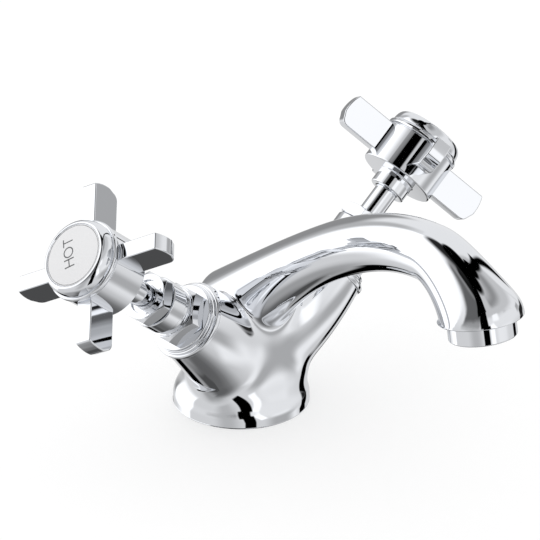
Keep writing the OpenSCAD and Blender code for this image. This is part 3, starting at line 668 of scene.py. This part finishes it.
def handle(side):
    """The barrel with its collar and bead, four arms, the cap and the enamel disc."""
    body = f"{side}_turning"
    m = on_valve(side)
    neck_r = BARREL_R - 0.35
    shell = fillet([(STEM_R + 0.1, COLLAR_T + 0.4, 0), (STEM_R + 0.5, COLLAR_T, 0.2),
                    (COLLAR_R, COLLAR_T, 0.45), (COLLAR_R, BARREL_T, 0.5), (BARREL_R, BARREL_T, 0.55),
                    (BARREL_R, BEAD_T - 0.25, 0.2), (neck_r, BEAD_T - 0.1, 0.15), (neck_r, BEAD_T + 0.15, 0.1),
                    (BEAD_R - 0.1, BEAD_T + 0.25, 0.5), (BEAD_R, BEAD_T + 1.1, 0.9),
                    (BEAD_R - 0.15, RIM_T - 0.1, 0.6), (CAP_R - 0.5, RIM_T, 0.15), (0, RIM_T - 0.1, 0)], 6)
    obj = new_object(f"{side}_handle_barrel", *place(m, lathe(shell)))
    finish_piece(smooth(obj, 40), CHROME, body, "chrome_handle", f"{side}_handle")
    for i in range(4):
        turn = Matrix.Rotation(math.radians(REST[side] + 90 * i), 4, "Z")
        arm = new_object(f"{side}_handle_arm_{i + 1}", *place(m @ turn, arm_mesh()))
        finish_piece(smooth(arm, 30, 0.45, 4), CHROME, body, "chrome_handle")

    wide, high = CAP_R - INDEX_R - 0.5, CAP_T - RIM_T - 0.7
    cap = fillet([(0, RIM_T - 0.5, 0), (CAP_R - 0.5, RIM_T - 0.5, 0), (CAP_R - 0.35, RIM_T + 0.1, 0.1),
                  (CAP_R, RIM_T + 0.45, 0.3)]
                 + [(CAP_R - wide + wide * math.cos(a), CAP_T - high + high * math.sin(a), 0)
                    for a in np.linspace(0, math.pi / 2, 17)]
                 + [(INDEX_R + 0.3, CAP_T, 0.12), (INDEX_R + 0.06, CAP_T - 0.5, 0.05),
                    (0, CAP_T - 0.6, 0)], 8)
    obj = new_object(f"{side}_handle_cap", *place(m, lathe(cap)))
    finish_piece(smooth(obj, 40), CHROME_TURNED, body, "chrome_trim", f"{side}_cap")

    rows = [(INDEX_R - 0.25) * i / 14 for i in range(15)]
    profile = [(0, CAP_T - 1.8), (INDEX_R - 0.02, CAP_T - 1.8), (INDEX_R - 0.02, CAP_T - 0.5),
               (INDEX_R - 0.08, CAP_T - 0.38)] + [(r, dome(r)) for r in rows[::-1]]
    obj = new_object(f"{side}_enamel_disc", *place(m, lathe(profile)))
    finish_piece(smooth(obj, 40), ENAMEL, body, "enamel_white", f"{side}_index_disc")


CROWN_R = (INDEX_R ** 2 + DISC_CROWN ** 2) / (2 * DISC_CROWN)


def dome(r):
    """Height of the enamel's surface at radius r."""
    return CAP_T - DISC_SINK + DISC_CROWN - CROWN_R + math.sqrt(CROWN_R ** 2 - r * r)


def arc_line(cx, cy, rx, ry, a0, a1, n):
    return [(cx + rx * math.cos(math.radians(a)), cy + ry * math.sin(math.radians(a)))
            for a in np.linspace(a0, a1, n)]


# Each glyph: its width and its strokes, for capitals of height 1
GLYPHS = {
    "H": (0.74, [[(0, 0), (0, 1)], [(0.74, 0), (0.74, 1)], [(0, 0.52), (0.74, 0.52)]]),
    "O": (0.98, [arc_line(0.49, 0.5, 0.49, 0.5, 0, 360, 49)]),
    "T": (0.72, [[(0.36, 0), (0.36, 1)], [(0, 1), (0.72, 1)]]),
    "C": (0.84, [arc_line(0.49, 0.5, 0.49, 0.5, 45, 315, 37)]),
    "L": (0.56, [[(0, 1), (0, 0), (0.56, 0)]]),
    "D": (0.80, [[(0, 0), (0, 1)] + arc_line(0.3, 0.5, 0.5, 0.5, 90, -90, 25) + [(0, 0)]]),
}
GLYPH_GAP = 0.24


def stroke(line, width, lift):
    """A flat ribbon along a line on the enamel, with its ends run out by half its width."""
    p = np.array(line, float)
    loop = np.linalg.norm(p[0] - p[-1]) < 1e-6
    if not loop:
        for end, inner in ((0, 1), (-1, -2)):
            way = p[end] - p[inner]
            p[end] += way / np.linalg.norm(way) * width / 2
    fine = [p[0]]
    for a, b in zip(p, p[1:]):
        n = max(1, int(np.linalg.norm(b - a) / 0.5))
        fine += [a + (b - a) * (k + 1) / n for k in range(n)]
    p = np.array(fine)
    before = np.diff(p, axis=0)
    before /= np.linalg.norm(before, axis=1)[:, None]
    first, last = before[:1], before[-1:]
    if loop:
        first, last = last, first
    near, far = np.concatenate([first, before]), np.concatenate([before, last])
    side = near + far
    side /= np.linalg.norm(side, axis=1)[:, None]
    side = np.stack([-side[:, 1], side[:, 0]], 1) / np.maximum((side * near).sum(1), 0.5)[:, None]
    points, faces = [], []
    for q, s in zip(p, side):
        for w, h in ((0.5, -0.1), (0.5, lift), (-0.5, lift), (-0.5, -0.1)):
            x, y = q + s * w * width
            points.append((x, y, dome(math.hypot(x, y)) + h))
    for i in range(len(p) - 1):
        for k in range(4):
            a, b = 4 * i + k, 4 * i + (k + 1) % 4
            faces.append([a, b, b + 4, a + 4])
    if not loop:
        faces += [[0, 3, 2, 1], [len(points) - 4, len(points) - 3, len(points) - 2, len(points) - 1]]
    return np.array(points), faces


def word(side, text, turn, along, up, size, width):
    """A functional word in thin plain capitals on the enamel disc, and the fine line round it.

    turn sets the line's direction in degrees, along and up move it on the disc.
    """
    total = sum(GLYPHS[c][0] for c in text) + GLYPH_GAP * (len(text) - 1)
    x = -total / 2
    parts = []
    c, s = math.cos(math.radians(turn)), math.sin(math.radians(turn))
    for letter in text:
        wide, lines = GLYPHS[letter]
        for line in lines:
            flat = [((px + x) * size + along, (py - 0.5) * size + up) for px, py in line]
            parts.append(stroke([(px * c - py * s, px * s + py * c) for px, py in flat], width, 0.02))
        x += wide + GLYPH_GAP
    ring_r = INDEX_R - 0.45
    line = stroke(arc_line(0, 0, ring_r, ring_r, 0, 360, 121), 0.16, 0.012)
    for name, part in ((f"{side}_word", joined(parts)), (f"{side}_ring_line", line)):
        obj = new_object(name, *place(on_valve(side), part))
        finish_piece(smooth(obj, 30), INK, f"{side}_turning", "enamel_white")


for name in SIDE:
    valve_pieces(name)
    handle(name)
word("hot", "HOT", 133.5, 1.5, 1.6, 3.9, 0.46)
word("cold", "COLD", 56.0, 0.0, 1.6, 3.6, 0.44)


# Outlet
def outlet_pieces():
    """The aerator's ring, which hangs below the spout's rim."""
    outer, inner = AERATOR_R - 1.3, AERATOR_R - AERATOR_WALL - 1.7 + 0.3
    ring = fillet([(outer, -4, 0), (outer, 0.08, 0.1), (AERATOR_R - 0.3, 0.08, 0.05),
                   (AERATOR_R, 0.35, 0.25), (AERATOR_R, AERATOR_DROP, 0.55), (outer, AERATOR_DROP, 0.3),
                   (inner, AERATOR_DROP - 0.6, 0.2), (inner, -4, 0)])
    obj = new_object("aerator_ring", *place(AT_OUTLET, lathe(ring, closed=True)))
    finish_piece(smooth(obj), CHROME_TURNED, "root", "chrome_trim", "aerator_housing")


outlet_pieces()

# The solids that stay as they are get their material only
KEPT = {"base_seal": RUBBER, "aerator_insert": PLASTIC, "aerator_seal": RUBBER}
for name in SIDE:
    KEPT.update({f"{name}_lower_disc": CERAMIC, f"{name}_upper_disc": CERAMIC, f"{name}_seat_gasket": RUBBER,
                 f"{name}_spindle_rings": RUBBER, f"{name}_circlip": STEEL, f"{name}_handle_screw": STEEL})
for name, mat in KEPT.items():
    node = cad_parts[name]
    node.data.materials.clear()
    node.data.materials.append(mat)

# Camera
FRAME_PX, FOCAL_PX, SENSOR = 540, 3165.97, 36
AZ, EL = math.radians(49.61), math.radians(25.34)
back = Vector((math.sin(AZ) * math.cos(EL), -math.cos(AZ) * math.cos(EL), math.sin(EL)))
camera = bpy.data.objects.new("camera", bpy.data.cameras.new("camera"))
bpy.context.scene.collection.objects.link(camera)
camera.location = (0.81734, -0.68112, 0.55720)
camera.rotation_euler = (-back).to_track_quat("-Z", "Y").to_euler()
camera.data.sensor_width = SENSOR
camera.data.lens = FOCAL_PX / FRAME_PX * SENSOR
camera.data.clip_end = 50
bpy.context.scene.camera = camera


# Floor and light
# What the chrome sees, as in a light tent: levels by elevation, then soft-edged panels and the dark gaps
# between them. Each panel: azimuth, elevation, half width, half height, turn, softness of its sides and of
# its ends, level. Angles are in degrees, azimuths from +X. Later panels lie over earlier ones.
TENT_BASE = [(-90, 0.12), (-80, 0.13), (-72, 0.2), (-64, 0.36), (-56, 0.58), (-46, 0.7), (-20, 0.7),
             (0, 0.78), (30, 0.9), (60, 0.85), (90, 0.5)]
TENT = [
    # low in front, in the trunk and the foot
    (50, -37, 22, 9, 25, 18, 12, 0.93),
    (31, -25, 22, 9, 0, 26, 12, 0.44),
    (27, -2, 18, 8, 0, 16, 10, 0.95),
    # left of the camera, between softbox and dark strip
    (-62, -24, 16, 22, 0, 26, 14, 0.5),
    (-72, 14, 26, 16, 0, 10, 22, 0.34),
    (-73, 44, 28, 26, 8, 10, 20, 0.13),
    # the large softbox on the left
    (-150, 20, 32.5, 50, -26, 6, 18, 1.3),
    # the graded panel on the right
    (25, 41, 68, 37, 0, 6, 10, 0.6),
    (32, 12, 60, 16, 0, 8, 18, 0.86),
    (40, 64, 46, 9, 0, 20, 18, 0.3),
    # a white wedge between strip and panel
    (-9, -2, 6, 15, 29, 5, 8, 1.2),
    # behind the tap, in its upper edges
    (140, 38, 44, 40, 0, 6, 6, 0.87),
    (160, 0, 18, 18, 0, 8, 12, 0.29),
    (178, 24, 8, 20, 0, 12, 20, 0.5),
    # the dark strip in front and the dark ceiling that it runs into
    (-25.5, -18, 9.5, 25, 9, 2.5, 6, 0),
    (-37.5, 22, 10.4, 26, 11, 3, 6, 0),
    (-52, 58, 16, 20, 27, 4, 6, 0),
    (-66, 76, 26, 10, 0, 6, 5, 0),
    (-122, 76, 50, 13, 12, 18, 14, 0.02),
    (0, 88, 180, 11, 0, 1, 4, 0),
    # the thin dark line down the panel's far edge
    (71, 76, 17, 6, -25.6, 2, 2, 0),
    (90, 55, 15, 3, -57, 2, 2, 0),
    (103.5, 25, 1.5, 27, 21, 1.5, 6, 0),
    # the dark bands under the spout and along the trunk's edge
    (92, -7, 14, 5, -8, 6, 4, 0.02),
    (86, -29, 10, 19, 0, 3, 5, 0),
    (129, -46, 10, 13, 0, 5, 5, 0),
    (158, -53, 28, 8, 0, 6, 4, 0),
    # in the flat faces of the handles' arms
    (-3, 25, 9, 8, 0, 8, 7, 1.1),
    (78, 6, 7, 5, 0, 6, 5, 0.42),
    (156, -76, 22, 7, 0, 10, 5, 0.075),
    # in the underside of the spout's root
    (-134, -68, 34, 9, 0, 24, 16, 0.36),
]


def tent_world():
    """White for what the camera and matt surfaces see, and the tent for mirror rays."""
    world = bpy.data.worlds.new("studio")
    bpy.context.scene.world = world
    world.use_nodes = True
    nodes, links = world.node_tree.nodes, world.node_tree.links
    nodes.clear()

    def math_node(kind, *values):
        node = nodes.new("ShaderNodeMath")
        node.operation = kind
        for i, v in enumerate(values):
            if isinstance(v, (int, float)):
                node.inputs[i].default_value = v
            else:
                links.new(v, node.inputs[i])
        return node.outputs[0]

    def fade(value, edge, soft):
        node = nodes.new("ShaderNodeMapRange")
        node.interpolation_type = "SMOOTHSTEP"
        links.new(math_node("ABSOLUTE", value), node.inputs["Value"])
        node.inputs["From Min"].default_value = edge - soft / 2
        node.inputs["From Max"].default_value = edge + soft / 2
        node.inputs["To Min"].default_value = 1.0
        node.inputs["To Max"].default_value = 0.0
        return node.outputs["Result"]

    coords = nodes.new("ShaderNodeTexCoord")
    split = nodes.new("ShaderNodeSeparateXYZ")
    links.new(coords.outputs["Generated"], split.inputs["Vector"])
    degree = 180 / math.pi
    az = math_node("MULTIPLY", math_node("ARCTAN2", split.outputs["Y"], split.outputs["X"]), degree)
    el = math_node("MULTIPLY", math_node("ARCSINE", split.outputs["Z"]), degree)
    ramp = nodes.new("ShaderNodeValToRGB")
    links.new(math_node("MULTIPLY_ADD", el, 1 / 180, 0.5), ramp.inputs["Fac"])
    stops = ramp.color_ramp.elements
    for i, (angle, level) in enumerate(TENT_BASE):
        at = angle / 180 + 0.5
        stop = stops[0] if i == 0 else stops[-1] if i == len(TENT_BASE) - 1 else stops.new(at)
        stop.position = at
        stop.color = (level, level, level, 1)
    level = ramp.outputs["Color"]
    for az0, el0, wide, high, turn, side_soft, end_soft, value in TENT:
        c, s = math.cos(math.radians(turn)), math.sin(math.radians(turn))
        du = math_node("WRAP", math_node("SUBTRACT", az, float(az0)), 180.0, -180.0)
        dv = math_node("SUBTRACT", el, float(el0))
        u = math_node("MULTIPLY_ADD", du, c, math_node("MULTIPLY", dv, s))
        v = math_node("MULTIPLY_ADD", dv, c, math_node("MULTIPLY", du, -s))
        mask = math_node("MULTIPLY", fade(u, wide, side_soft), fade(v, high, end_soft))
        mix = nodes.new("ShaderNodeMix")
        links.new(mask, mix.inputs["Factor"])
        links.new(level, mix.inputs["A"])
        mix.inputs["B"].default_value = value
        level = mix.outputs["Result"]
    tent = nodes.new("ShaderNodeBackground")
    links.new(level, tent.inputs["Color"])
    plain = nodes.new("ShaderNodeBackground")
    plain.inputs["Color"].default_value = (1, 1, 1, 1)
    paths = nodes.new("ShaderNodeLightPath")
    choose = nodes.new("ShaderNodeMixShader")
    links.new(paths.outputs["Is Glossy Ray"], choose.inputs["Fac"])
    links.new(plain.outputs["Background"], choose.inputs[1])
    links.new(tent.outputs["Background"], choose.inputs[2])
    out = nodes.new("ShaderNodeOutputWorld")
    links.new(choose.outputs["Shader"], out.inputs["Surface"])


def floor_plane():
    """A pale floor that glows to white for the camera and keeps the tap's soft shadow."""
    far = 3000
    corners = [(-far, -far, 0), (far, -far, 0), (far, far, 0), (-far, far, 0)]
    obj = new_object("floor", corners, [[0, 1, 2, 3]])
    mat = bpy.data.materials.new("floor")
    mat.use_nodes = True
    nodes, links = mat.node_tree.nodes, mat.node_tree.links
    nodes.clear()
    out = nodes.new("ShaderNodeOutputMaterial")
    diffuse = nodes.new("ShaderNodeBsdfDiffuse")
    diffuse.inputs["Color"].default_value = (0.5, 0.5, 0.5, 1)
    glow = nodes.new("ShaderNodeEmission")
    glow.inputs["Strength"].default_value = 0.54
    paths = nodes.new("ShaderNodeLightPath")
    most = nodes.new("ShaderNodeMath")
    most.operation = "MAXIMUM"
    links.new(paths.outputs["Is Camera Ray"], most.inputs[0])
    links.new(paths.outputs["Is Glossy Ray"], most.inputs[1])
    add = nodes.new("ShaderNodeAddShader")
    links.new(diffuse.outputs["BSDF"], add.inputs[0])
    links.new(glow.outputs["Emission"], add.inputs[1])
    mix = nodes.new("ShaderNodeMixShader")
    links.new(most.outputs["Value"], mix.inputs["Fac"])
    links.new(diffuse.outputs["BSDF"], mix.inputs[1])
    links.new(add.outputs["Shader"], mix.inputs[2])
    links.new(mix.outputs["Shader"], out.inputs["Surface"])
    obj.data.materials.append(mat)
    obj.visible_glossy = False


tent_world()
floor_plane()
bpy.context.scene.view_settings.view_transform = "Standard"
